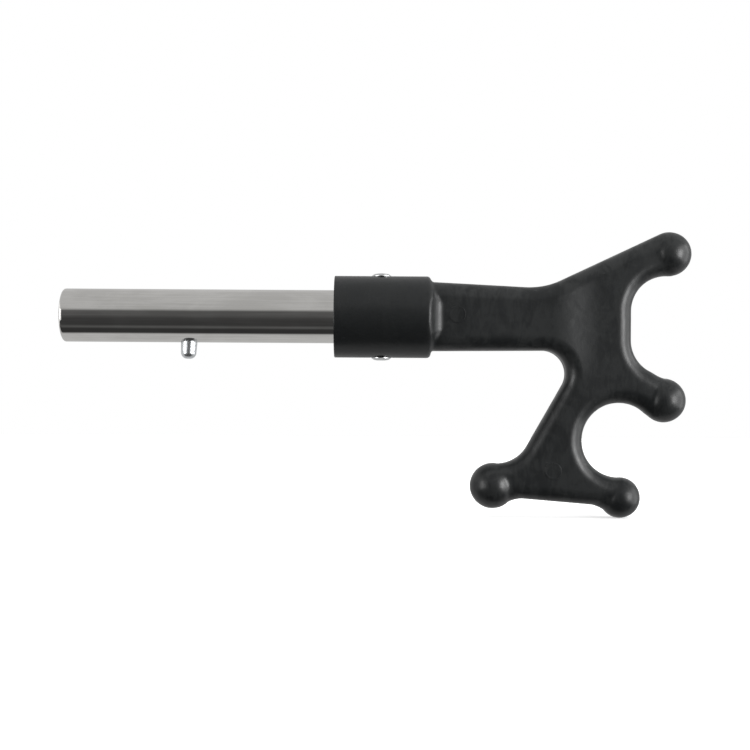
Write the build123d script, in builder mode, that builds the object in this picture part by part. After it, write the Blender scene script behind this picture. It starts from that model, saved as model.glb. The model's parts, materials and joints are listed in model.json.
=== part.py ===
"""Boat hook head on a quick-release spigot tube.

Frame: origin on the tube's axis, in the plane of the collar's rear face where the pole butts.
+X runs along the tube towards the hook, +Z points to the raised fork arm, and the hook is flat
in the XZ plane. Millimetres throughout.
"""

from build123d import *
import os
from math import cos, hypot, radians, sin, tan

os.makedirs("parts", exist_ok=True)

# ---- driving dimensions -------------------------------------------------------------------------

# spigot tube: one inch stainless tube, part of it buried in the collar
tube_radius = 12.7
tube_wall = 1.5
tube_reach = 129.4  # from the collar's rear face to the open end
tube_buried = 43.5
tube_end_round = 1.2

# collar that grips the tube
collar_radius = 19.5
collar_length = 46.3
collar_front_round = 1.6
collar_rear_round = 0.4
socket_radius = tube_radius + 0.05
socket_depth = 44.0
socket_lead_in = 0.3

# hook blade, flat in XZ
blade_thickness = 16.5
blade_edge_round = 6.0
blade_root = 36.0  # the blade starts inside the collar
ball_core = 0.9  # share of a ball's radius within which the end of an arm stays square

# neck: a rounded bar that thins out from the collar until it sinks into the blade
neck_end = 122.0
neck_root_height = 33.0
neck_root_thickness = 25.2
neck_root_round = 7.5
neck_end_height = 26.0
neck_end_thickness = 16.8
neck_end_round = 6.5
neck_root_rise = 0.4  # centre of each end section over the tube's axis
neck_end_rise = -0.9

# ball ends: centre (x, z) and radius
ball_high = (159.9, 31.0)
ball_front = (157.6, -39.05)
ball_low = (136.8, -85.6)
ball_back = (76.0, -80.25)
fork_ball_radius = 10.4
low_ball_radius = 9.6
back_ball_radius = 10.75

# corners of the blade's outline (x, z) and the radius that rounds each of them
neck_top = (blade_root, 17.05)
shoulder = (99.9, 14.1)
shoulder_round = 37.0
high_arm_angle = 115.3  # where the upper edge of its arm meets the high ball
fork_top = (141.5, 20.1)
fork_top_round = 17.0
fork_bottom = (141.5, -20.0)
fork_bottom_round = 16.7
front_arm_end = (159.5, -30.3)
front_arm_angle = 228.0  # where the lower edge of its arm leaves the front ball
throat = (118.4, -15.4)
throat_round = 11.0
heel = (87.5, -69.8)
heel_round = 16.8
neck_bottom = (blade_root, -16.2)
low_arm_end = (136.8, -83.1)
low_edge_front = (134.0, -89.8)
low_edge_back = (76.0, -85.15)
back_arm_end = (76.8, -69.8)

# rope notch between the front ball and the low ball
notch_centre = (136.2, -58.2)
notch_radius = 17.9
notch_arm_angle = 48.0  # where the notch meets the front ball's arm

# blind rivets that hold the tube in the collar, one above and one below
rivet_x = 22.4
rivet_radius = 2.4
rivet_hole_radius = 2.45
rivet_head_radius = 4.7
rivet_head_height = 1.55
rivet_head_rim = 0.35  # height of the straight rim under the dome
rivet_head_flat = 1.9  # radius of the flat around the bore
rivet_dome_radius = 3.6  # a point halfway over the dome: its radius
rivet_dome_height = 1.15  # and its height over the spot face
rivet_seat = 19.25  # height of the spot face over the tube's axis
spot_face_radius = 4.9
spot_face_cut = 2.0
rivet_tail_radius = 3.5
rivet_tail_length = 2.9
rivet_tail_gap = 0.3  # from the tube's inner wall
rivet_tail_lip = 0.7
mandrel_radius = 1.3
mandrel_gap = 0.02
mandrel_head_radius = 2.1
mandrel_head_length = 1.8
mandrel_crown_round = 1.08
mandrel_recess = 0.5

# snap button, leaning a little towards the tube's open end
button_x = -69.5  # where its axis leaves the tube's wall
button_lean = 2.5
button_base_radius = 3.9
button_tip_radius = 3.5
button_tip_round = 2.4
button_travel = 7.85
button_hole_radius = 4.2
button_flange_radius = 5.0
button_flange_height = 9.85  # outer face of the flange, from the tube's axis
button_flange_thickness = 1.0
button_tail_radius = 1.9
button_tail_head_radius = 3.2
button_tail_head_thickness = 0.8

# leaf spring that pushes the button out
spring_thickness = 0.8
spring_width = 9.0
spring_gap = 0.05
spring_hole_radius = 2.0
spring_free_end = 6.5
spring_leg = 36.0
spring_bend_radius = 4.2
spring_open_angle = 13.0
spring_foot = 6.0
spring_foot_round = 6.0
spring_foot_gap = 0.1
spring_corner_round = 3.0


def rim(centre, radius, angle):
    """Point on a circle in the XZ plane, at an angle from +X towards +Z."""
    return (
        centre[0] + radius * cos(radians(angle)),
        centre[1] + radius * sin(radians(angle)),
    )


# ---- spigot tube --------------------------------------------------------------------------------

tube_length = tube_reach + tube_buried
through_tube = 2 * tube_radius  # long enough to cut past the tube's wall
open_end = Plane(origin=(-tube_reach, 0, 0), x_dir=(0, 1, 0), z_dir=(1, 0, 0))

with BuildPart() as tube:
    with BuildSketch(open_end):
        Circle(tube_radius)
        Circle(tube_radius - tube_wall, mode=Mode.SUBTRACT)
    extrude(amount=tube_length)
    end_edges = tube.edges().filter_by(GeomType.CIRCLE).group_by(Axis.X)[0]
    fillet(end_edges.sort_by(SortBy.RADIUS)[-1], tube_end_round)
    # rivet holes, straight through both walls
    with BuildSketch(Plane.XY):
        with Locations((rivet_x, 0)):
            Circle(rivet_hole_radius)
    extrude(amount=through_tube, both=True, mode=Mode.SUBTRACT)
    # button hole, through the lower wall only
    with BuildSketch(Plane.XY):
        with Locations((button_x, 0)):
            Circle(button_hole_radius)
    extrude(amount=-through_tube, mode=Mode.SUBTRACT)

# ---- hook head: collar, neck, blade and ball ends in one moulding --------------------------------

high_tangent = rim(ball_high, fork_ball_radius, high_arm_angle)
front_tangent = rim(ball_front, fork_ball_radius, front_arm_angle)
notch_tangent = rim(notch_centre, notch_radius, notch_arm_angle)

balls = (
    (ball_high, fork_ball_radius),
    (ball_front, fork_ball_radius),
    (ball_low, low_ball_radius),
    (ball_back, back_ball_radius),
)

with BuildPart() as hook_head:
    # outline of the blade, ending inside each ball
    with BuildSketch(Plane.XZ) as outline:
        with BuildLine():
            Polyline(
                neck_top,
                shoulder,
                high_tangent,
                (ball_high[0], fork_top[1]),
                fork_top,
                fork_bottom,
                front_arm_end,
                front_tangent,
                notch_tangent,
                notch_centre,
                low_arm_end,
                low_edge_front,
                low_edge_back,
                back_arm_end,
                heel,
                throat,
                neck_bottom,
                close=True,
            )
        make_face()
        rounds = {
            shoulder: shoulder_round,
            fork_top: fork_top_round,
            fork_bottom: fork_bottom_round,
            throat: throat_round,
            heel: heel_round,
        }
        for corner, radius in rounds.items():
            fillet(outline.vertices().sort_by_distance(corner)[0], radius)
        with Locations(notch_centre):
            Circle(notch_radius, mode=Mode.SUBTRACT)
    extrude(amount=blade_thickness / 2, both=True)

    # soft round-over along the outline, front and back, up to where the balls swallow it
    def on_outline(edge):
        middle = edge.center()
        in_ball = any(
            hypot(middle.X - centre[0], middle.Z - centre[1]) < ball_core * radius
            for centre, radius in balls
        )
        return edge.tangent_at(0.5).cross(Vector(0, 1, 0)).length > 0.5 and not in_ball

    flat_sides = hook_head.faces().filter_by(Axis.Y)
    fillet(flat_sides.edges().filter_by(on_outline), blade_edge_round)
    # ball ends
    for centre, radius in balls:
        with Locations((centre[0], 0, centre[1])):
            Sphere(radius)
    # neck
    with BuildSketch(Plane.YZ.offset(blade_root)):
        with Locations((0, neck_root_rise)):
            RectangleRounded(neck_root_thickness, neck_root_height, neck_root_round)
    with BuildSketch(Plane.YZ.offset(neck_end)):
        with Locations((0, neck_end_rise)):
            RectangleRounded(neck_end_thickness, neck_end_height, neck_end_round)
    loft()
    # collar
    with BuildSketch(Plane.YZ):
        Circle(collar_radius)
    extrude(amount=collar_length)
    collar_rims = hook_head.edges().filter_by(GeomType.CIRCLE)
    collar_rims = collar_rims.filter_by(lambda edge: abs(edge.radius - collar_radius) < 0.01)
    fillet(collar_rims.sort_by(Axis.X)[-1], collar_front_round)
    fillet(collar_rims.sort_by(Axis.X)[0], collar_rear_round)
    # socket for the tube, with a small lead-in at its mouth
    with BuildSketch(Plane.YZ):
        Circle(socket_radius)
    extrude(amount=socket_depth, mode=Mode.SUBTRACT)
    mouth = hook_head.edges().filter_by(GeomType.CIRCLE).group_by(Axis.X)[0]
    chamfer(mouth.sort_by(SortBy.RADIUS)[0], socket_lead_in)
    # rivet holes and their spot faces
    with BuildSketch(Plane.XY):
        with Locations((rivet_x, 0)):
            Circle(rivet_hole_radius)
    extrude(amount=2 * collar_radius, both=True, mode=Mode.SUBTRACT)
    for side in (1, -1):
        with BuildSketch(Plane.XY.offset(side * rivet_seat)):
            with Locations((rivet_x, 0)):
                Circle(spot_face_radius)
        extrude(amount=side * spot_face_cut, mode=Mode.SUBTRACT)


# ---- blind rivets -------------------------------------------------------------------------------

def rivet_frame(side):
    """Plane through a rivet's axis: local x is the radius, local y is the height over the tube's axis."""
    return Plane(origin=(rivet_x, 0, 0), x_dir=(1, 0, 0), z_dir=(0, -side, 0))


def rivet_axis(side):
    return Axis((rivet_x, 0, 0), (0, 0, side))


def make_rivet(side):
    """Set rivet body: domed head on the spot face, shank, and the tail bulged out inside the tube."""
    bore = mandrel_radius + mandrel_gap
    tail_top = tube_radius - tube_wall - rivet_tail_gap
    tail_end = tail_top - rivet_tail_length
    head_top = rivet_seat + rivet_head_height
    with BuildPart() as rivet:
        with BuildSketch(rivet_frame(side)):
            with BuildLine():
                dome = ThreePointArc(
                    (rivet_head_radius, rivet_seat + rivet_head_rim),
                    (rivet_dome_radius, rivet_seat + rivet_dome_height),
                    (rivet_head_flat, head_top),
                )
                Polyline(dome @ 1, (bore, head_top), (bore, tail_end))
                bulge = ThreePointArc(
                    (bore + rivet_tail_lip, tail_end),
                    (rivet_tail_radius, (tail_end + tail_top) / 2),
                    (rivet_radius, tail_top),
                )
                Line((bore, tail_end), bulge @ 0)
                Polyline(
                    bulge @ 1,
                    (rivet_radius, rivet_seat),
                    (rivet_head_radius, rivet_seat),
                    dome @ 0,
                )
            make_face()
        revolve(axis=rivet_axis(side))
    return rivet


def make_mandrel(side):
    """Broken mandrel left in the rivet: stub just below the dome, rounded head under the tail."""
    neck = tube_radius - tube_wall - rivet_tail_gap - rivet_tail_length - mandrel_gap
    top = rivet_seat + rivet_head_height - mandrel_recess
    bottom = neck - mandrel_head_length
    with BuildPart() as mandrel:
        with BuildSketch(rivet_frame(side)):
            Polygon(
                (0, top),
                (mandrel_radius, top),
                (mandrel_radius, neck),
                (mandrel_head_radius, neck),
                (mandrel_head_radius, bottom),
                (0, bottom),
                align=None,
            )
        revolve(axis=rivet_axis(side))
        crown = mandrel.edges().filter_by(GeomType.CIRCLE).sort_by(Axis.Z, reverse=side > 0)[-1]
        fillet(crown, mandrel_crown_round)
    return mandrel


for name, side in (("upper_rivet", 1), ("lower_rivet", -1)):
    rivet = make_rivet(side)
    rivet.part.label = name
    export_step(rivet.part, f"parts/{name}.step")
    mandrel = make_mandrel(side)
    mandrel.part.label = name + "_mandrel"
    export_step(mandrel.part, f"parts/{name}_mandrel.step")

# ---- snap button --------------------------------------------------------------------------------

lean = radians(button_lean)
outward = Vector(-sin(lean), 0, -cos(lean))
along_leg = Vector(cos(lean), 0, -sin(lean))
button_foot = Vector(button_x + tube_radius * tan(lean), 0, 0)  # its axis crosses the tube's axis
button_tip = tube_radius + button_travel
button_side = Plane(origin=button_foot, x_dir=along_leg, z_dir=along_leg.cross(outward))
flange_inner = button_flange_height - button_flange_thickness
strip_outer = flange_inner - spring_gap
strip_inner = strip_outer - spring_thickness

with BuildPart() as snap_button:
    tail_top = strip_inner - spring_gap
    tail_end = tail_top - button_tail_head_thickness
    with BuildSketch(button_side):
        with BuildLine():
            Polyline(
                (0, tail_end),
                (button_tail_head_radius, tail_end),
                (button_tail_head_radius, tail_top),
                (button_tail_radius, tail_top),
                (button_tail_radius, flange_inner),
                (button_flange_radius, flange_inner),
                (button_flange_radius, button_flange_height),
                (button_base_radius, button_flange_height),
                (button_base_radius, tube_radius),
                (button_tip_radius, button_tip),
                (0, button_tip),
                close=True,
            )
        make_face()
    revolve(axis=Axis(button_foot, outward))
    rims = snap_button.edges().filter_by(GeomType.CIRCLE)
    tip_rim = rims.sort_by_distance(button_foot + outward * button_tip)[0]
    tail_rims = rims.filter_by(lambda edge: abs(edge.radius - button_tail_head_radius) < 0.01)
    tail_rim = tail_rims.sort_by_distance(button_foot + outward * tail_end)[0]
    fillet(tip_rim, button_tip_round)
    fillet(tail_rim, button_tail_head_thickness / 2)

# ---- leaf spring --------------------------------------------------------------------------------

strip_middle = (strip_outer + strip_inner) / 2
at_button = button_foot + outward * strip_middle
free_end = at_button + along_leg * spring_free_end
bend_start = at_button - along_leg * spring_leg
bend_turn = button_lean + spring_open_angle - 180
# the foot lies just under the tube's upper wall, where the strip's edges touch it
wall_over_edge = ((tube_radius - tube_wall) ** 2 - (spring_width / 2) ** 2) ** 0.5
foot_level = wall_over_edge - spring_thickness / 2 - spring_foot_gap

with BuildPart() as button_spring:
    with BuildSketch(Plane.XZ):
        with BuildLine():
            Line((free_end.X, free_end.Z), (bend_start.X, bend_start.Z))
            bend = JernArc(
                (bend_start.X, bend_start.Z),
                (-along_leg.X, -along_leg.Z),
                spring_bend_radius,
                bend_turn,
            )
            rise = foot_level - (bend @ 1).Y
            knee = ((bend @ 1).X + rise / tan(radians(spring_open_angle)), foot_level)
            FilletPolyline(
                bend @ 1,
                knee,
                (knee[0] + spring_foot, foot_level),
                radius=spring_foot_round,
            )
        trace(line_width=spring_thickness)
    extrude(amount=spring_width / 2, both=True)
    # round ends in plan, and the hole that the button's tail is riveted through
    corners = button_spring.edges().filter_by(
        lambda edge: edge.length < spring_thickness + 0.01 and edge.center().X > button_foot.X
    )
    fillet(corners, spring_corner_round)
    with BuildSketch(Plane(origin=button_foot, x_dir=(0, 1, 0), z_dir=outward)):
        Circle(spring_hole_radius)
    extrude(amount=tube_radius, mode=Mode.SUBTRACT)

# ---- the rest of the pieces ---------------------------------------------------------------------

pieces = {
    "hook_head": hook_head,
    "tube": tube,
    "snap_button": snap_button,
    "button_spring": button_spring,
}
for name, piece in pieces.items():
    piece.part.label = name
    export_step(piece.part, f"parts/{name}.step")
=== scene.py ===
import json
from math import asin, atan2, ceil, cos, degrees, hypot, pi, radians, sin, sqrt, tan

import bmesh
import bpy
import numpy as np
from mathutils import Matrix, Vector


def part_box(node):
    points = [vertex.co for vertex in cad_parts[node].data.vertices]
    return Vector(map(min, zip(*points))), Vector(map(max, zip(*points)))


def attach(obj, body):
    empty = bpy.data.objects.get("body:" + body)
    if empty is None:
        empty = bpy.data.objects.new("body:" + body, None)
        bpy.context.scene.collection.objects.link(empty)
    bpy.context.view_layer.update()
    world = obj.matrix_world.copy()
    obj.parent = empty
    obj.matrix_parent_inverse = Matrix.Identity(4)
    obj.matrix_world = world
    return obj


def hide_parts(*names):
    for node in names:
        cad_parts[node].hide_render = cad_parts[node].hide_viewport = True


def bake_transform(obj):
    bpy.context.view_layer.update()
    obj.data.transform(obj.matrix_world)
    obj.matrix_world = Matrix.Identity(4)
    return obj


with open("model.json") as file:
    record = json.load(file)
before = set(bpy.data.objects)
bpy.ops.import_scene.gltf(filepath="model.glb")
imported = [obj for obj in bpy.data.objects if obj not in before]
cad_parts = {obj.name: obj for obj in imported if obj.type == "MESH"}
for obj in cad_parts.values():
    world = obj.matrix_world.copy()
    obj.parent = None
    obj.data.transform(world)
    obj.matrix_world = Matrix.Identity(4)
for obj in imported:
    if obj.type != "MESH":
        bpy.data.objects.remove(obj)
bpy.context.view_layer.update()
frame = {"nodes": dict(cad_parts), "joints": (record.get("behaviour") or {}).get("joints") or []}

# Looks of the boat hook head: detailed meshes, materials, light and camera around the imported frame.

MM = 0.001

# ---- sizes taken from the frame, in millimetres --------------------------------------------------


def node_box(name):
    low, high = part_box(name)
    return np.array(low) / MM, np.array(high) / MM


head_low, head_high = node_box("hook_head")
tube_low, tube_high = node_box("tube")
collar_radius = -head_low[1]
tube_radius = tube_high[1]
tube_open_end = tube_low[0]
tube_inner_end = tube_high[0]
floor_level = head_low[2]

# ---- shape of the moulding, in millimetres -------------------------------------------------------

collar_length = 45.9
collar_front_round = 1.9
collar_rear_round = 0.45
scoop_above = 1.5  # hollow between the collar's front face and the neck, above and below
scoop_beside = 6.4  # and at the neck's flat sides
socket_radius = tube_radius + 0.05
socket_depth = 44.0

neck_half_thickness = 12.6
neck_half_height = 16.6
blade_half_thickness = 8.25
blade_edge_round = 7.1
neck_extra_round = 0.4
blade_root = 30.0
neck_taper = (46.0, 104.0)  # the neck thins slowly between these distances along the tube's axis
neck_runout = (103.0, 126.0)  # and runs out into the blade between these
arm_fade = (-40.0, -17.0)  # and only above these heights

ball_high = (159.9, 31.0)
ball_front = (157.6, -39.05)
ball_low = (136.8, -85.6)
ball_back = (76.0, -80.25)
balls = ((ball_high, 10.4), (ball_front, 10.4), (ball_low, 9.6), (ball_back, 10.75))
ball_blend = 7.4  # radius of the hollow where the edge of an arm runs into its ball
ball_face_blend = 3.2  # and where its flat face does
ball_sink = 2.2  # how far the end of an arm lies inside its ball
ball_sink_run = 70.0  # degrees around the ball over which it sinks in

notch_centre = (136.2, -58.2)
notch_radius = 17.9
notch_arm_angle = 48.0  # where the notch meets the front ball's arm, in degrees from +X towards +Z

# corners of the blade's outline (x, z) and the radius that rounds each of them
neck_top = (blade_root, 17.3)
neck_bottom = (blade_root, -16.26)
shoulder, shoulder_round = (99.9, 14.1), 37.0
fork_bottom, fork_bottom_round = (141.5, -20.0), 16.7
fork_top_round = 17.0
heel, heel_round = (87.5, -69.8), 16.8
throat, throat_round = (118.4, -15.4), 11.0

# where each edge of an arm meets its ball: the angle, and the distance from the ball's centre
fork_edge_drop = 10.55
high_arm_angle = 115.3
front_arm_angle, front_arm_reach = 60.2, 8.54
low_edge_angle, low_edge_reach, back_edge_reach = -94.6, 4.41, 4.88
back_arm_reach = 10.55

tube_wall = 1.5
tube_end_round = 1.25
button_hole_radius = 4.2
button_patch = 7.2  # half size of the stretch of wall whose mesh is fitted to the button's hole
rivet_patch = 4.2

rivet_x = 22.4
rivet_seat = 19.25
spot_face_radius = 4.9
rivet_hole_radius = 2.45

pin_marks = ((58.0, 1.0), (103.9, -72.6))
pin_mark_radius = 4.0
pin_mark_height = 0.2
pin_mark_root = 0.4  # how deep its pad reaches into the face
seam_height = 0.10
seam_width = 0.22
seam_start = (46.0, 50.0)  # it rises to its height between these distances along the tube's axis


# ---- general helpers -----------------------------------------------------------------------------


def add_object(name, mesh, body, material, replaces=()):
    """Put a finished mesh, in metres, into the scene as a piece that rides on a body."""
    piece = bpy.data.objects.new(name, mesh)
    bpy.context.scene.collection.objects.link(piece)
    mesh.materials.append(material)
    if body:
        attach(piece, body)
    if replaces:
        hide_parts(*replaces)
    return piece


def mesh_of(name, points_mm, faces, sharp_angle=None):
    mesh = bpy.data.meshes.new(name)
    mesh.from_pydata((np.asarray(points_mm) * MM).tolist(), [], faces)
    mesh.update()
    mesh.shade_smooth()
    if sharp_angle:
        mesh.set_sharp_from_angle(angle=radians(sharp_angle))
    return mesh


def face_outwards(mesh):
    bm = bmesh.new()
    bm.from_mesh(mesh)
    bmesh.ops.recalc_face_normals(bm, faces=bm.faces)
    bm.to_mesh(mesh)
    bm.free()


def smooth_step(low, high, value):
    t = np.clip((value - low) / (high - low), 0, 1)
    return t * t * (3 - 2 * t)


def arc_points(centre, radius, start, end, step=1.5):
    """Points along an arc, angles in degrees."""
    count = max(2, int(ceil(abs(end - start) / step)))
    angles = np.radians(np.linspace(start, end, count + 1))
    return [(centre[0] + radius * cos(a), centre[1] + radius * sin(a)) for a in angles]


def rounded_corner(before, corner, after, radius):
    """Arc that rounds a corner between two straight runs."""
    to_before = Vector(before) - Vector(corner)
    to_after = Vector(after) - Vector(corner)
    half = to_before.angle(to_after) / 2
    middle = (to_before.normalized() + to_after.normalized()).normalized()
    centre = Vector(corner) + middle * (radius / sin(half))
    first = Vector(corner) + to_before.normalized() * (radius / tan(half)) - centre
    last = Vector(corner) + to_after.normalized() * (radius / tan(half)) - centre
    start = degrees(atan2(first.y, first.x))
    turn = (degrees(atan2(last.y, last.x)) - start + 180) % 360 - 180
    return arc_points(centre, radius, start, start + turn)


# ---- outline of the blade ------------------------------------------------------------------------


def around_ball(centre, radius, start, start_radius, end, end_radius):
    """Clockwise run around a ball that sinks into it, between two angles in degrees."""
    points = []
    for angle in np.linspace(start, end, int((start - end) / 2) + 1):
        from_start = smooth_step(0, ball_sink_run, start - angle)
        from_end = smooth_step(0, ball_sink_run, angle - end)
        sunk = radius - ball_sink
        reach = sunk + (start_radius - sunk) * (1 - from_start) + (end_radius - sunk) * (1 - from_end)
        points.append((centre[0] + reach * cos(radians(angle)), centre[1] + reach * sin(radians(angle))))
    return points


def blade_outline():
    """Closed outline of the blade in the XZ plane; the end of each arm is sunk into its ball."""
    (high, high_radius), (front, front_radius), (low, low_radius), (back, back_radius) = balls
    fork_top = (fork_bottom[0], high[1] - fork_edge_drop)
    high_run = around_ball(high, high_radius, high_arm_angle, high_radius, -90, fork_edge_drop)
    front_end = notch_arm_angle - 180
    front_run = around_ball(front, front_radius, front_arm_angle, front_arm_reach, front_end, front_radius)
    notch_run = arc_points(notch_centre, notch_radius, notch_arm_angle, 270)
    low_run = around_ball(low, low_radius, 90, low_radius, low_edge_angle, low_edge_reach)
    back_run = around_ball(back, back_radius, low_edge_angle, back_edge_reach, -270, back_arm_reach)
    path = [neck_top]
    path += rounded_corner(neck_top, shoulder, high_run[0], shoulder_round)
    path += high_run
    path += rounded_corner(high_run[-1], fork_top, fork_bottom, fork_top_round)
    path += rounded_corner(fork_top, fork_bottom, front_run[0], fork_bottom_round)
    path += front_run + notch_run + low_run + back_run
    path += rounded_corner(back_run[-1], heel, throat, heel_round)
    path += rounded_corner(heel, throat, neck_bottom, throat_round)
    path += [neck_bottom]
    return np.array(path)


def distance_to_outline(x, z, path):
    """Signed distance in the XZ plane, negative inside, and its direction."""
    best = np.full(x.shape, np.inf)
    out_x, out_z = np.zeros(x.shape), np.zeros(x.shape)
    inside = np.zeros(x.shape, bool)
    for (ax, az), (bx, bz) in zip(path, np.roll(path, -1, axis=0)):
        ex, ez = bx - ax, bz - az
        rx, rz = x - ax, z - az
        t = np.clip((rx * ex + rz * ez) / (ex * ex + ez * ez), 0, 1)
        rx, rz = rx - t * ex, rz - t * ez
        squared = rx * rx + rz * rz
        nearer = squared < best
        best = np.where(nearer, squared, best)
        out_x, out_z = np.where(nearer, rx, out_x), np.where(nearer, rz, out_z)
        if az != bz:
            inside ^= ((az > z) != (bz > z)) & (x < ex * (z - az) / ez + ax)
    sign = np.where(inside, -1.0, 1.0)
    length = np.sqrt(best)
    safe = sign / np.maximum(length, 1e-9)
    return sign * length, out_x * safe, out_z * safe


# ---- solid of the moulding, as a distance field --------------------------------------------------


def rounded_join(a, b, radius):
    """Union of two solids with a concave fillet of that radius between them."""
    corner = np.hypot(np.maximum(radius - a, 0), np.maximum(radius - b, 0))
    return np.maximum(radius, np.minimum(a, b)) - corner


def rounded_box(p, q, radius):
    """Distance to the corner p < 0, q < 0 rounded to a radius, p and q being distances to its sides."""
    p, q = p + radius, q + radius
    return np.minimum(np.maximum(p, q), 0) + np.hypot(np.maximum(p, 0), np.maximum(q, 0)) - radius


def hook_field(x, y, z, flat):
    """Signed distance to the moulding. flat is distance_to_outline at the same points."""
    outline, out_x, out_z = flat
    side = np.abs(y)
    radial = np.hypot(y, z)
    # blade, thicker along the neck
    neck_share = (2 - smooth_step(*neck_taper, x) - smooth_step(*neck_runout, x)) / 2
    neck_share = neck_share * smooth_step(*arm_fade, z)
    half_thickness = blade_half_thickness + (neck_half_thickness - blade_half_thickness) * neck_share
    edge_round = blade_edge_round + neck_extra_round * neck_share
    p = outline + edge_round
    q = side - half_thickness + edge_round
    solid = rounded_box(outline, side - half_thickness, edge_round)
    # direction in which the blade's distance grows, for blending each ball to suit its angle
    over_p, over_q = np.maximum(p, 0), np.maximum(q, 0)
    reach = np.maximum(np.hypot(over_p, over_q), 1e-6)
    on_edge = (over_p > 0) | (over_q > 0)
    in_plane = np.where(on_edge, over_p / reach, p > q)
    across = np.where(on_edge, over_q / reach, p <= q)
    for centre, radius in balls:
        dx, dz = x - centre[0], z - centre[1]
        length = np.maximum(np.sqrt(dx * dx + y * y + dz * dz), 1e-6)
        alike = (in_plane * (out_x * dx + out_z * dz) + across * side) / length
        hollow = ball_face_blend + (ball_blend - ball_face_blend) * in_plane ** 2
        solid = rounded_join(solid, length - radius, hollow * np.clip(1 - alike, 0.01, 1))
    # mould seam around the middle
    solid = solid - seam_height * np.exp(-((y / seam_width) ** 2)) * smooth_step(*seam_start, x)
    # collar, its front face hollowed into the flat sides of the neck and less so above and below
    rim = collar_radius / np.maximum(radial, 1e-6)
    neck_corner = blade_edge_round + neck_extra_round
    gap = rounded_box(side * rim - neck_half_thickness, np.abs(z) * rim - neck_half_height, neck_corner)
    sideways = smooth_step(0.35, 0.95, side / np.maximum(radial, 1e-6))
    hollow = scoop_above + (scoop_beside - scoop_above) * sideways
    hollow = np.minimum(hollow, 1.3 * np.maximum(gap, 0.5))
    shoulder = rounded_join(solid, x - collar_length, hollow)
    collar = rounded_box(radial - collar_radius, shoulder, collar_front_round)
    rear = rounded_box(radial - collar_radius, -x, collar_rear_round)
    collar = np.where(x < collar_length / 2, rear, collar)
    solid = np.where(x < blade_root + 2, collar, np.minimum(solid, collar))
    # socket, rivet holes and their spot faces
    socket = np.maximum(radial - socket_radius, x - socket_depth)
    from_rivet = np.hypot(x - rivet_x, y)
    spot_face = np.maximum(from_rivet - spot_face_radius, rivet_seat - np.abs(z))
    cuts = np.minimum(np.minimum(socket, spot_face), from_rivet - rivet_hole_radius)
    return np.maximum(solid, -cuts)


def graded_steps(stops, fine, coarse):
    """Grid lines from the first stop to the last, fine near each inner stop and coarse elsewhere."""
    lines = [stops[0]]
    inner = np.array(stops[1:-1])
    while lines[-1] < stops[-1]:
        near = np.abs(inner - lines[-1]).min() if len(inner) else coarse
        lines.append(lines[-1] + min(coarse, max(fine, fine + 0.45 * (near - fine))))
    return np.array(lines)


def contour(field_at, lines):
    """Mesh of the surface where a field is zero, with its sharp edges kept (dual contouring)."""
    xs, ys, zs = lines
    grid = np.meshgrid(xs, zs, indexing="ij")
    values = field_at(xs[:, None, None], ys[None, :, None], zs[None, None, :], grid)
    inside = values < 0
    cells = tuple(len(axis) - 1 for axis in lines)
    corner_ids, crossings, turned = [], [], []
    for axis in range(3):
        first = np.take(inside, range(cells[axis]), axis=axis)
        second = np.take(inside, range(1, cells[axis] + 1), axis=axis)
        at = np.argwhere(first != second)
        ahead = at.copy()
        ahead[:, axis] += 1
        f0, f1 = values[tuple(at.T)], values[tuple(ahead.T)]
        p0 = np.stack([lines[k][at[:, k]] for k in range(3)], 1)
        p1 = np.stack([lines[k][ahead[:, k]] for k in range(3)], 1)
        share = (f0 / (f0 - f1))[:, None]
        crossings.append((p0, p1, p0 + share * (p1 - p0)))
        turned.append(first[tuple(at.T)])
        b, c = [k for k in range(3) if k != axis]
        around = []
        for step_b, step_c in ((-1, -1), (0, -1), (0, 0), (-1, 0)):
            cell = at.copy()
            cell[:, b] += step_b
            cell[:, c] += step_c
            around.append(np.ravel_multi_index(cell.T, cells))
        corner_ids.append(np.stack(around, 1))
    points = np.concatenate([c[2] for c in crossings])
    starts = np.concatenate([c[0] for c in crossings])
    ends = np.concatenate([c[1] for c in crossings])
    points = refine(field_at, starts, ends, points)
    normals = gradient(field_at, points)
    ids = np.concatenate(corner_ids)
    used, local = np.unique(ids, return_inverse=True)
    local = local.reshape(ids.shape)
    vertices = cell_vertices(local, len(used), points, normals)
    low = np.stack([lines[k][i] for k, i in enumerate(np.unravel_index(used, cells))], 1)
    high = np.stack([lines[k][i + 1] for k, i in enumerate(np.unravel_index(used, cells))], 1)
    vertices = np.clip(vertices, low, high)
    flip = np.concatenate(turned)
    flip[len(turned[0]):len(turned[0]) + len(turned[1])] ^= True
    quads = np.where(flip[:, None], local, local[:, ::-1])
    return vertices, quads.tolist()


def evaluate(field_at, points):
    x, y, z = points.T
    return field_at(x, y, z, (x, z))


def refine(field_at, start, end, guess):
    """One step of false position along each crossed grid edge."""
    value = evaluate(field_at, guess)
    slope = gradient(field_at, guess)
    way = end - start
    length = np.linalg.norm(way, axis=1, keepdims=True)
    way = way / length
    along = (slope * way).sum(1)
    step = np.where(np.abs(along) > 0.2, -value / np.where(np.abs(along) > 0.2, along, 1), 0)
    limit = 0.3 * length[:, 0]
    moved = guess + way * np.clip(step, -limit, limit)[:, None]
    return np.clip(moved, np.minimum(start, end), np.maximum(start, end))


def gradient(field_at, points, small=0.01):
    slopes = []
    for axis in range(3):
        offset = np.zeros(3)
        offset[axis] = small
        slopes.append(evaluate(field_at, points + offset) - evaluate(field_at, points - offset))
    slopes = np.stack(slopes, 1)
    return slopes / np.maximum(np.linalg.norm(slopes, axis=1, keepdims=True), 1e-12)


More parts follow.
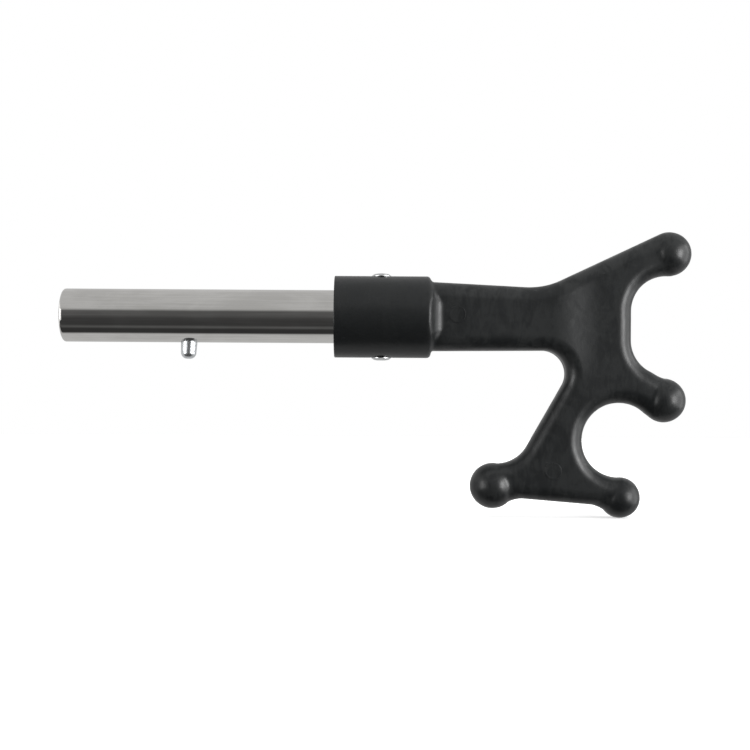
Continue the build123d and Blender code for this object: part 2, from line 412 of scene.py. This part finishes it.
def cell_vertices(local, count, points, normals, pull=0.06):
    """One vertex for each crossed cell, where the tangent planes at its crossings meet."""

    def gathered(weights):
        total = np.zeros(count)
        for column in range(4):
            total += np.bincount(local[:, column], weights=weights, minlength=count)
        return total

    number = gathered(np.ones(len(points)))
    middle = np.stack([gathered(points[:, k]) for k in range(3)], 1) / number[:, None]
    reach = (normals * points).sum(1)
    matrix = np.zeros((count, 3, 3))
    target = np.zeros((count, 3))
    for i in range(3):
        target[:, i] = gathered(normals[:, i] * reach)
        for j in range(3):
            matrix[:, i, j] = gathered(normals[:, i] * normals[:, j])
    weight = pull * number
    matrix += weight[:, None, None] * np.eye(3)
    target += weight[:, None] * middle
    return np.linalg.solve(matrix, target[:, :, None])[:, :, 0]


def build_hook_head(material):
    path = blade_outline()

    def field_at(x, y, z, plane):
        plane_x, plane_z = plane
        shape = plane_x.shape
        flat = distance_to_outline(plane_x.ravel(), plane_z.ravel(), path)
        flat = [part.reshape(shape) for part in flat]
        if x.ndim == 3:
            flat = [part[:, None, :] for part in flat]
        return hook_field(x, y, z, flat)

    pitch = 0.75
    seam = seam_width / 2
    lines = (
        graded_steps((head_low[0] - 1.03, 0.0, collar_length, head_high[0] + 1.5), 0.3, pitch),
        graded_steps((head_low[1] - 1.07, -seam, seam, head_high[1] + 1.5), 0.12, pitch),
        graded_steps((head_low[2] - 1.01, head_high[2] + 1.5), pitch, pitch),
    )
    vertices, quads = contour(field_at, lines)
    mesh = mesh_of("hook_head_shell", vertices, quads, sharp_angle=38)
    return add_object("hook_moulding", mesh, "head", material, ["hook_head"])


# ---- materials -----------------------------------------------------------------------------------


class Nodes:
    """Small wrapper that adds and links shader nodes of one material."""

    def __init__(self, name):
        self.material = bpy.data.materials.new(name)
        self.material.use_nodes = True
        self.tree = self.material.node_tree
        self.shader = self.tree.nodes["Principled BSDF"]
        self.place = self.add("ShaderNodeTexCoord").outputs["Object"]

    def add(self, kind, **settings):
        node = self.tree.nodes.new(kind)
        for key, value in settings.items():
            setattr(node, key, value)
        return node

    def link(self, source, target):
        self.tree.links.new(source, target)

    def value(self, socket, value):
        self.shader.inputs[socket].default_value = value

    def scaled(self, scale):
        mapping = self.add("ShaderNodeMapping")
        mapping.inputs["Scale"].default_value = scale
        self.link(self.place, mapping.inputs["Vector"])
        return mapping.outputs["Vector"]

    def noise(self, size_mm, detail=3.0, rough=0.5, stretch=(1, 1, 1), distortion=0.0):
        """Noise whose patches are about size_mm across; stretch lengthens them along an axis."""
        texture = self.add("ShaderNodeTexNoise")
        texture.inputs["Scale"].default_value = 1.0
        texture.inputs["Detail"].default_value = detail
        texture.inputs["Roughness"].default_value = rough
        texture.inputs["Distortion"].default_value = distortion
        per_metre = 1 / (size_mm * MM)
        self.link(self.scaled([per_metre / s for s in stretch]), texture.inputs["Vector"])
        return texture.outputs["Fac"]

    def ramp(self, source, low, high, to_low, to_high):
        """Map a range of a value to another, clamped."""
        node = self.add("ShaderNodeMapRange", clamp=True, interpolation_type="SMOOTHSTEP")
        for key, value in zip(("From Min", "From Max", "To Min", "To Max"), (low, high, to_low, to_high)):
            node.inputs[key].default_value = value
        self.link(source, node.inputs["Value"])
        return node.outputs["Result"]

    def math(self, operation, first, second):
        node = self.add("ShaderNodeMath", operation=operation)
        for index, item in enumerate((first, second)):
            if isinstance(item, (int, float)):
                node.inputs[index].default_value = item
            else:
                self.link(item, node.inputs[index])
        return node.outputs[0]

    def mix(self, factor, first, second):
        node = self.add("ShaderNodeMix", data_type="RGBA")
        self.link(factor, node.inputs["Factor"])
        for index, colour in ((6, first), (7, second)):
            if isinstance(colour, tuple):
                node.inputs[index].default_value = (*colour, 1)
            else:
                self.link(colour, node.inputs[index])
        return node.outputs[2]

    def bump(self, height, depth_mm, strength=1.0, below=None):
        node = self.add("ShaderNodeBump")
        node.inputs["Strength"].default_value = strength
        node.inputs["Distance"].default_value = depth_mm * MM
        self.link(height, node.inputs["Height"])
        if below is not None:
            self.link(below, node.inputs["Normal"])
        return node.outputs["Normal"]


def hook_plastic():
    """Satin black moulded plastic with cloudy flow marks, fine grain and faint scuffs."""
    n = Nodes("hook_plastic")
    clouds = n.noise(16, detail=2.5, rough=0.5, distortion=1.6)
    flow = n.noise(5.5, detail=4, rough=0.55, stretch=(0.8, 1, 2.4), distortion=2.2)
    grain = n.noise(0.45, detail=1, rough=0.5)
    scuffs = n.noise(1.3, detail=5, rough=0.65, stretch=(5, 1, 1.5))
    patches = n.math("ADD", n.math("MULTIPLY", clouds, 0.55), n.math("MULTIPLY", flow, 0.45))
    # painted shade: on the collar the colour is pulled towards a darker, more even tone than on the hook,
    # though both are one moulding
    collar_painted_shade_level = 0.43
    along = n.add("ShaderNodeSeparateXYZ")
    n.link(n.place, along.inputs["Vector"])
    past_collar = n.ramp(along.outputs["X"], 0.040, 0.060, 0.2, 1.0)
    # pull the mottling towards the painted shade level on the collar
    patches = n.math("ADD", collar_painted_shade_level, n.math("MULTIPLY", n.math("SUBTRACT", patches, collar_painted_shade_level), past_collar))
    shade = n.mix(n.ramp(patches, 0.40, 0.60, 0, 1), (0.0095, 0.0106, 0.0111), (0.0225, 0.0238, 0.0241))
    worn = n.mix(n.ramp(scuffs, 0.66, 0.80, 0, 0.5), shade, (0.060, 0.062, 0.062))
    n.link(worn, n.shader.inputs["Base Color"])
    rough = n.math("ADD", n.ramp(patches, 0.36, 0.64, 0.38, 0.28), n.ramp(scuffs, 0.6, 0.8, 0, 0.08))
    n.link(rough, n.shader.inputs["Roughness"])
    n.value("Specular IOR Level", 0.37)
    n.value("IOR", 1.5)
    uneven = n.bump(n.noise(9, detail=1, rough=0.4, distortion=1.0), 0.22, 0.6)
    n.link(n.bump(grain, 0.006, 0.5, below=uneven), n.shader.inputs["Normal"])
    return n.material


def polished_stainless():
    """Mirror polished tube with faint lengthwise polishing lines and smudges."""
    n = Nodes("polished_stainless")
    lines = n.noise(0.25, detail=3, rough=0.6, stretch=(160, 1, 1))
    smudge = n.noise(14, detail=4, rough=0.6, stretch=(2, 1, 1), distortion=0.6)
    specks = n.noise(0.7, detail=4, rough=0.7, stretch=(3, 1, 1))
    streaks = n.noise(0.9, detail=4, rough=0.65, stretch=(45, 1, 1))
    mottle = n.math("ADD", n.math("MULTIPLY", smudge, 0.5), n.math("MULTIPLY", streaks, 0.5))
    tone = n.mix(n.ramp(mottle, 0.40, 0.60, 0, 1), (0.62, 0.61, 0.59), (0.72, 0.71, 0.69))
    n.link(tone, n.shader.inputs["Base Color"])
    n.value("Metallic", 1.0)
    haze = n.math("ADD", n.ramp(smudge, 0.35, 0.7, 0.030, 0.060), n.ramp(specks, 0.6, 0.8, 0, 0.05))
    n.link(haze, n.shader.inputs["Roughness"])
    waves = n.bump(n.noise(9, detail=2, rough=0.5, stretch=(5, 1, 1)), 0.03, 0.6)
    n.link(n.bump(lines, 0.0012, 0.5, below=waves), n.shader.inputs["Normal"])
    return n.material


def metal(name, dark, light, rough, grain_mm, depth_mm, stretch=(1, 1, 1)):
    """Plain metal with fine machining grain and slightly uneven tone."""
    n = Nodes(name)
    tone = n.noise(2.2, detail=4, rough=0.6)
    grain = n.noise(grain_mm, detail=4, rough=0.6, stretch=stretch)
    n.link(n.mix(n.ramp(tone, 0.35, 0.65, 0, 1), dark, light), n.shader.inputs["Base Color"])
    n.value("Metallic", 1.0)
    n.link(n.ramp(grain, 0.3, 0.7, rough - 0.05, rough + 0.07), n.shader.inputs["Roughness"])
    n.link(n.bump(grain, depth_mm, 0.4), n.shader.inputs["Normal"])
    return n.material


# ---- turned pieces -------------------------------------------------------------------------------


def turned(name, profile, origin, axis, side, segments=96, sharp_angle=40):
    """Solid of revolution. profile holds (radius, height) in mm, from one pole to the other."""
    axis, side = Vector(axis).normalized(), Vector(side).normalized()
    third = axis.cross(side)
    origin = Vector(origin)
    points, rings = [], []
    for radius, height in profile:
        if radius < 1e-6:
            rings.append([len(points)])
            points.append(origin + axis * height)
            continue
        rings.append(list(range(len(points), len(points) + segments)))
        for k in range(segments):
            a = 2 * pi * k / segments
            points.append(origin + axis * height + (side * cos(a) + third * sin(a)) * radius)
    faces = []
    for lower, upper in zip(rings, rings[1:]):
        for k in range(segments):
            j = (k + 1) % segments
            if len(lower) == 1:
                faces.append((lower[0], upper[j], upper[k]))
            elif len(upper) == 1:
                faces.append((lower[k], lower[j], upper[0]))
            else:
                faces.append((lower[k], lower[j], upper[j], upper[k]))
    return mesh_of(name, [tuple(p) for p in points], faces, sharp_angle)


def fillet_profile(corners, step=15):
    """Profile through (radius, height, rounding) corners, each rounded by its own arc."""
    profile = [corners[0][:2]]
    for before, corner, after in zip(corners, corners[1:], corners[2:]):
        if corner[2] > 0:
            arc = rounded_corner(before[:2], corner[:2], after[:2], corner[2])
            keep = max(1, len(arc) * step // 90 // 6)
            profile += arc[::keep] + ([arc[-1]] if (len(arc) - 1) % keep else [])
        else:
            profile.append(corner[:2])
    profile.append(corners[-1][:2])
    return profile


# ---- rivets --------------------------------------------------------------------------------------

rivet_low, rivet_high = node_box("upper_rivet")
mandrel_low, mandrel_high = node_box("upper_rivet_mandrel")
rivet_head_radius = (rivet_high[0] - rivet_low[0]) / 2
rivet_top = rivet_high[2]
rivet_bottom = rivet_low[2]
mandrel_top = mandrel_high[2]
mandrel_bottom = mandrel_low[2]
mandrel_radius = 1.3
mandrel_gap = 0.02
mandrel_head_radius = 2.1
mandrel_head_length = 1.8
rivet_radius = 2.4
rivet_bulge = 3.4  # radius of the tail where it bulges inside the tube
rivet_tail_gap = 0.3  # from the tube's inner wall


def build_rivet(name, side, rivet_metal, mandrel_metal):
    origin, axis = (rivet_x, 0, 0), (0, 0, side)
    bore = mandrel_radius + mandrel_gap
    tail_top = tube_radius - tube_wall - rivet_tail_gap
    body = fillet_profile([
        (bore, rivet_bottom, 0),
        (rivet_bulge - 0.5, rivet_bottom, 0.5),
        (rivet_bulge, (rivet_bottom + tail_top) / 2, 1.2),
        (rivet_radius, tail_top, 0.3),
        (rivet_radius, rivet_seat, 0),
        (rivet_head_radius, rivet_seat, 0.12),
        (rivet_head_radius, rivet_seat + 0.42, 0.12),
        (3.5, rivet_top - 0.32, 1.6),
        (1.75, rivet_top, 0.25),
        (1.6, rivet_top - 0.35, 0.1),
        (bore, rivet_top - 0.45, 0),
        (bore, rivet_bottom, 0),
    ])
    mesh = turned(name + "_body", body, origin, axis, (1, 0, 0))
    add_object(name + "_set", mesh, "head", rivet_metal, [name])
    stem = fillet_profile([
        (0, mandrel_bottom, 0),
        (mandrel_head_radius, mandrel_bottom, 1.0),
        (mandrel_head_radius, mandrel_bottom + mandrel_head_length - 0.02, 0.15),
        (mandrel_radius, mandrel_bottom + mandrel_head_length + 0.02, 0),
        (mandrel_radius, mandrel_top - 0.1, 0.12),
        (0.75, mandrel_top, 0.2),
        (0.35, mandrel_top - 0.28, 0),
        (0, mandrel_top - 0.34, 0),
    ])
    mesh = turned(name + "_stem", stem, origin, axis, (1, 0, 0), segments=48)
    add_object(name + "_stub", mesh, "head", mandrel_metal, [name + "_mandrel"])


# ---- marks of the ejector pins -------------------------------------------------------------------


def build_pin_marks(material):
    """Low round pads on the front face, each set square to the face under it."""
    path = blade_outline()

    def field(point):
        x, y, z = (np.array([value]) for value in point)
        return hook_field(x, y, z, distance_to_outline(x, z, path))[0]

    outermost, top = pin_mark_radius, pin_mark_height
    profile = fillet_profile([
        (0, top - 0.05, 0),
        (outermost - 1.1, top - 0.05, 1.0),
        (outermost - 0.5, top, 0.5),
        (outermost - 0.1, top, 0.1),
        (outermost, top - 0.12, 0.1),
        (outermost, -pin_mark_root, 0),
    ])[::-1]
    for index, (mark_x, mark_z) in enumerate(pin_marks):
        point = np.array([mark_x, -neck_half_thickness, mark_z])
        for _ in range(30):
            point[1] += field(point)
        slope = [field(point + step) - field(point - step) for step in 0.5 * np.eye(3)]
        mesh = turned(f"pin_mark_pad_{index + 1}", profile, point, slope, (1, 0, 0.001))
        add_object(f"pin_mark_{index + 1}", mesh, "head", material)


# ---- snap button and its spring ------------------------------------------------------------------

lean = asin(frame["joints"][0]["axis"][0])
outward = Vector((-sin(lean), 0, -cos(lean)))
along_leg = Vector((cos(lean), 0, -sin(lean)))
button_x = -69.5
button_travel = 7.85
button_base_radius, button_tip_radius, button_tip_round = 3.9, 3.5, 3.0
flange_radius, flange_thickness = 5.0, 1.0
tail_radius, tail_head_radius, tail_head_thickness = 1.9, 3.2, 0.8
button_foot = Vector((button_x + tube_radius * tan(lean), 0, 0))
button_tip = tube_radius + button_travel
flange_inner = 8.85
strip_thickness = 0.8
strip_gap = 0.05
spring_step = 1.5


def build_button(material):
    tail_top = flange_inner - strip_thickness - 2 * strip_gap
    tail_end = tail_top - tail_head_thickness
    flange_outer = flange_inner + flange_thickness
    profile = fillet_profile([
        (0, tail_end, 0),
        (tail_head_radius, tail_end, 0.38),
        (tail_head_radius, tail_top, 0.1),
        (tail_radius, tail_top, 0),
        (tail_radius, flange_inner, 0),
        (flange_radius, flange_inner, 0.12),
        (flange_radius, flange_outer, 0.12),
        (button_base_radius, flange_outer, 0),
        (button_base_radius, tube_radius, 0.3),
        (button_tip_radius, button_tip, button_tip_round),
        (0, button_tip, 0),
    ])
    mesh = turned("snap_button_turned", profile, button_foot, outward, along_leg, 128)
    add_object("snap_button_pin", mesh, "button", material, ["snap_button"])


def build_spring(material):
    """The strip with its button hole, cut across at short steps along its length."""
    low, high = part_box("button_spring")
    bm = bmesh.new()
    bm.from_mesh(frame["nodes"]["button_spring"].data)
    bmesh.ops.remove_doubles(bm, verts=bm.verts, dist=1e-6)
    for x in np.arange(low[0] + spring_step * MM, high[0], spring_step * MM):
        cut = bm.verts[:] + bm.edges[:] + bm.faces[:]
        bmesh.ops.bisect_plane(bm, geom=cut, dist=1e-7, plane_co=(x, 0, 0), plane_no=(1, 0, 0))
    mesh = bpy.data.meshes.new("button_spring_strip")
    bm.to_mesh(mesh)
    bm.free()
    mesh.materials.clear()
    mesh.shade_smooth()
    mesh.set_sharp_from_angle(angle=radians(30))
    piece = add_object("button_spring_strip", mesh, None, material, ["button_spring"])
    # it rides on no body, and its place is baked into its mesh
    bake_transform(piece)


# ---- tube ----------------------------------------------------------------------------------------


def wall_point(radius, x, y_angle):
    """Point on a wall of the tube; the angle runs around from the lowest line."""
    return (x, radius * sin(y_angle), -radius * cos(y_angle))


def build_tube(material):
    """Tube with a rounded open end, the button's hole in its lower wall and the rivets' holes."""
    inner = tube_radius - tube_wall
    around = 240
    opening = tube_open_end + 1.5
    stops = [opening + 0.15, button_x - button_patch, button_x + button_patch]
    stops += [rivet_x - rivet_patch, rivet_x + rivet_patch, tube_inner_end]
    columns = [opening, opening + 0.15]
    for start, end, count in zip(stops, stops[1:], (60, 16, 80, 10, 16)):
        columns += np.linspace(start, end, count + 1)[1:].tolist()
    holes = [(button_x, -1, button_hole_radius, button_patch)]
    holes += [(rivet_x, side, rivet_hole_radius, rivet_patch) for side in (-1, 1)]
    points, faces = [], []

    def patch_of(x, side, block):
        """Columns, half height and middle row of the square patch that a hole is let into."""
        first = int(np.argmin(np.abs(np.array(columns) - (x - block))))
        last = int(np.argmin(np.abs(np.array(columns) - (x + block))))
        half = int(round(block / (2 * pi * tube_radius) * around))
        return first, last, half, 0 if side < 0 else around // 2

    def from_middle(j, middle):
        return (j - middle + around // 2) % around - around // 2

    def wall(radius):
        """Grid of one wall with its round holes; returns its end rings and the ring of each hole."""
        patches = [patch_of(x, side, block) for x, side, _, block in holes]
        grid = {}
        for i, x in enumerate(columns):
            for j in range(around):
                if any(f < i < l and abs(from_middle(j, m)) < h for f, l, h, m in patches):
                    continue
                grid[i, j] = len(points)
                points.append(wall_point(radius, x, 2 * pi * j / around))
        for i in range(len(columns) - 1):
            for j in range(around):
                if any(f <= i < l and -h <= from_middle(j, m) < h for f, l, h, m in patches):
                    continue
                k = (j + 1) % around
                faces.append((grid[i, j], grid[i + 1, j], grid[i + 1, k], grid[i, k]))
        hole_rings = []
        for (hole_x, side, hole_radius, _), (first, last, half, middle) in zip(holes, patches):
            loop = [(i, half) for i in range(first, last)]
            loop += [(last, j) for j in range(half, -half, -1)]
            loop += [(i, -half) for i in range(last, first, -1)]
            loop += [(first, j) for j in range(-half, half)]
            ring = [grid[i, (middle + j) % around] for i, j in loop]
            for layer in range(1, 6):
                new = []
                for i, j in loop:
                    x, y = columns[i] - hole_x, radius * sin(2 * pi * (middle + j) / around)
                    scale = 1 + (hole_radius / hypot(x, y) - 1) * layer / 5
                    new.append(len(points))
                    height = side * sqrt(radius ** 2 - (y * scale) ** 2)
                    points.append((hole_x + x * scale, y * scale, height))
                join(ring, new)
                ring = new
            hole_rings.append(ring)
        first_ring, last_ring = ([grid[i, j] for j in range(around)] for i in (0, len(columns) - 1))
        return first_ring, last_ring, hole_rings

    def join(a, b):
        for k in range(len(a)):
            m = (k + 1) % len(a)
            faces.append((a[k], a[m], b[m], b[k]))

    outer_start, outer_end, outer_holes = wall(tube_radius)
    inner_start, inner_end, inner_holes = wall(inner)
    ring = outer_start
    lip = [(tube_open_end + tube_end_round * (1 - sin(a)), tube_radius - tube_end_round * (1 - cos(a)))
           for a in np.radians(np.linspace(10, 90, 9))]
    lip += [(tube_open_end + 0.06, inner + 0.08), (tube_open_end + 0.25, inner)]
    for x, radius in lip:
        new = list(range(len(points), len(points) + around))
        points.extend(wall_point(radius, x, 2 * pi * j / around) for j in range(around))
        join(ring, new)
        ring = new
    join(ring, inner_start)
    join(outer_end, inner_end)
    for outer_hole, inner_hole in zip(outer_holes, inner_holes):
        join(outer_hole, inner_hole)
    mesh = mesh_of("spigot_tube_wall", points, faces)
    face_outwards(mesh)
    mesh.set_sharp_from_angle(angle=radians(38))
    add_object("spigot_tube", mesh, "head", material, ["tube"])


# ---- stage, light and camera ---------------------------------------------------------------------

view_distance = 630.0
view_centre = (19.5, -27.75)
view_width = 358.9
camera_roll = -0.37


def build_camera():
    data = bpy.data.cameras.new("camera")
    data.sensor_width = 36
    data.lens = 36 * view_distance / view_width
    data.clip_start, data.clip_end = 0.01, 50
    camera = bpy.data.objects.new("camera", data)
    camera.location = Vector((view_centre[0], -view_distance, view_centre[1])) * MM
    camera.rotation_euler = (pi / 2, radians(camera_roll), 0)
    bpy.context.scene.collection.objects.link(camera)
    bpy.context.scene.camera = camera


def card(name, place, aim, width, height, radiance):
    """Soft area light at a place, in metres, that faces another."""
    place, aim = Vector(place), Vector(aim)
    data = bpy.data.lights.new(name, "AREA")
    data.shape = "RECTANGLE"
    data.size, data.size_y = width, height
    data.energy = radiance * pi * width * height
    lamp = bpy.data.objects.new(name, data)
    lamp.location = place
    lamp.rotation_euler = (place - aim).to_track_quat("Z", "Y").to_euler()
    lamp.visible_camera = False
    bpy.context.scene.collection.objects.link(lamp)
    return lamp


# Grey glow of the studio around the tube's axis, by the angle in degrees from straight behind and
# below (-180), past the camera's side (0), to behind and above (180). It is pale below and above,
# and dark on the camera's side but for one dim strip.
room_glow = (
    (-180, 0.58), (-90, 0.58), (-81, 0.04), (-62, 0.04), (-52, 0.12), (-42, 0.05),
    (-15, 0.06), (0, 0.11), (17, 0.12), (28, 0.55), (180, 0.65),
)
room_radius = 2.2
room_half_length = 7.0


def room_material():
    """Plain grey glow that follows the row of stops around the drum."""
    material = bpy.data.materials.new("room")
    material.use_nodes = True
    tree = material.node_tree
    tree.nodes.clear()
    output = tree.nodes.new("ShaderNodeOutputMaterial")
    glow = tree.nodes.new("ShaderNodeEmission")
    place = tree.nodes.new("ShaderNodeUVMap")
    split = tree.nodes.new("ShaderNodeSeparateXYZ")
    ramp = tree.nodes.new("ShaderNodeValToRGB")
    elements = ramp.color_ramp.elements
    while len(elements) < len(room_glow):
        elements.new(0.5)
    for element, (angle, grey) in zip(elements, room_glow):
        element.position = (angle + 180) / 360
        element.color = (grey, grey, grey, 1)
    tree.links.new(place.outputs["UV"], split.inputs["Vector"])
    tree.links.new(split.outputs["X"], ramp.inputs["Fac"])
    tree.links.new(ramp.outputs["Color"], glow.inputs["Color"])
    tree.links.new(glow.outputs["Emission"], output.inputs["Surface"])
    return material


def build_room():
    """Long drum around the tube's axis, out of the camera's sight, that lights and is mirrored."""
    count = 180
    bm = bmesh.new()
    layer = bm.loops.layers.uv.new("angle")
    rows = []
    for k in range(count + 1):
        a = 2 * pi * k / count - pi
        y, z = -room_radius * cos(a), room_radius * sin(a)
        rows.append([bm.verts.new((x, y, z)) for x in (-room_half_length, room_half_length)])
    for k in range(count):
        face = bm.faces.new((rows[k][0], rows[k][1], rows[k + 1][1], rows[k + 1][0]))
        for loop, row in zip(face.loops, (k, k, k + 1, k + 1)):
            loop[layer].uv = (row / count, 0.5)
    mesh = bpy.data.meshes.new("room")
    bm.to_mesh(mesh)
    bm.free()
    mesh.materials.append(room_material())
    room = bpy.data.objects.new("room", mesh)
    bpy.context.scene.collection.objects.link(room)
    room.visible_camera = False
    room.visible_shadow = False


def build_floor():
    """Plain pale floor under the lowest ball."""
    material = bpy.data.materials.new("pale_floor")
    material.use_nodes = True
    shader = material.node_tree.nodes["Principled BSDF"]
    shader.inputs["Base Color"].default_value = (0.96, 0.96, 0.96, 1)
    shader.inputs["Roughness"].default_value = 0.9
    shader.inputs["Specular IOR Level"].default_value = 0.1
    shader.inputs["Emission Color"].default_value = (1, 1, 1, 1)
    shader.inputs["Emission Strength"].default_value = 0.5
    mesh = bpy.data.meshes.new("floor")
    reach = 0.8
    level = floor_level * MM - 0.0001
    corners = [(-reach, -reach, level), (reach, -reach, level), (reach, reach, level), (-reach, reach, level)]
    mesh.from_pydata(corners, [], [(0, 1, 2, 3)])
    mesh.materials.append(material)
    floor = bpy.data.objects.new("floor", mesh)
    bpy.context.scene.collection.objects.link(floor)
    floor.visible_glossy = False
    floor.visible_diffuse = False


def build_light():
    scene = bpy.context.scene
    scene.view_settings.view_transform = "Standard"
    world = bpy.data.worlds.new("studio")
    scene.world = world
    world.use_nodes = True
    sky = world.node_tree.nodes["Background"]
    sky.inputs["Color"].default_value = (1, 1, 1, 1)
    sky.inputs["Strength"].default_value = 1.0
    world.cycles_visibility.glossy = False
    world.cycles_visibility.diffuse = False
    # on each side a hot softbox, a weaker one nearer the camera and a wide pale panel behind them
    hook = (0.06, 0, -0.02)
    card("key_right", (0.76, -0.57, 0.03), hook, 0.38, 0.46, 8.6)
    card("skirt_right", (0.49, -0.52, 0.0), (0.47, 0, 0), 0.26, 0.46, 0.9)
    card("panel_right", (1.32, -0.34, 0.07), hook, 1.60, 1.40, 2.6)
    card("fill_left", (-0.86, -0.60, 0.04), hook, 0.40, 0.55, 3.2)
    card("skirt_left", (-0.48, -0.43, 0.0), (-0.14, 0, 0), 0.45, 0.46, 1.0)
    card("panel_left", (-1.49, -0.41, 0.09), hook, 1.80, 1.40, 0.75)
    overhead = card("overhead", (0.06, -0.13, 1.22), hook, 1.6, 1.3, 1.0)
    overhead.visible_glossy = False


build_camera()
build_light()
build_floor()
build_room()
plastic = hook_plastic()
build_hook_head(plastic)
build_pin_marks(plastic)
build_tube(polished_stainless())
rivet_metal = metal("rivet_aluminium", (0.60, 0.61, 0.61), (0.76, 0.77, 0.77), 0.28, 0.35, 0.004)
mandrel_metal = metal("mandrel_steel", (0.22, 0.22, 0.21), (0.42, 0.41, 0.40), 0.42, 0.25, 0.02)
for rivet_name, rivet_side in (("upper_rivet", 1), ("lower_rivet", -1)):
    build_rivet(rivet_name, rivet_side, rivet_metal, mandrel_metal)
build_button(metal("plated_steel", (0.66, 0.68, 0.69), (0.80, 0.82, 0.84), 0.31, 0.3, 0.004))
build_spring(metal("spring_steel", (0.34, 0.34, 0.33), (0.48, 0.48, 0.46), 0.30, 0.4, 0.01, (12, 1, 1)))
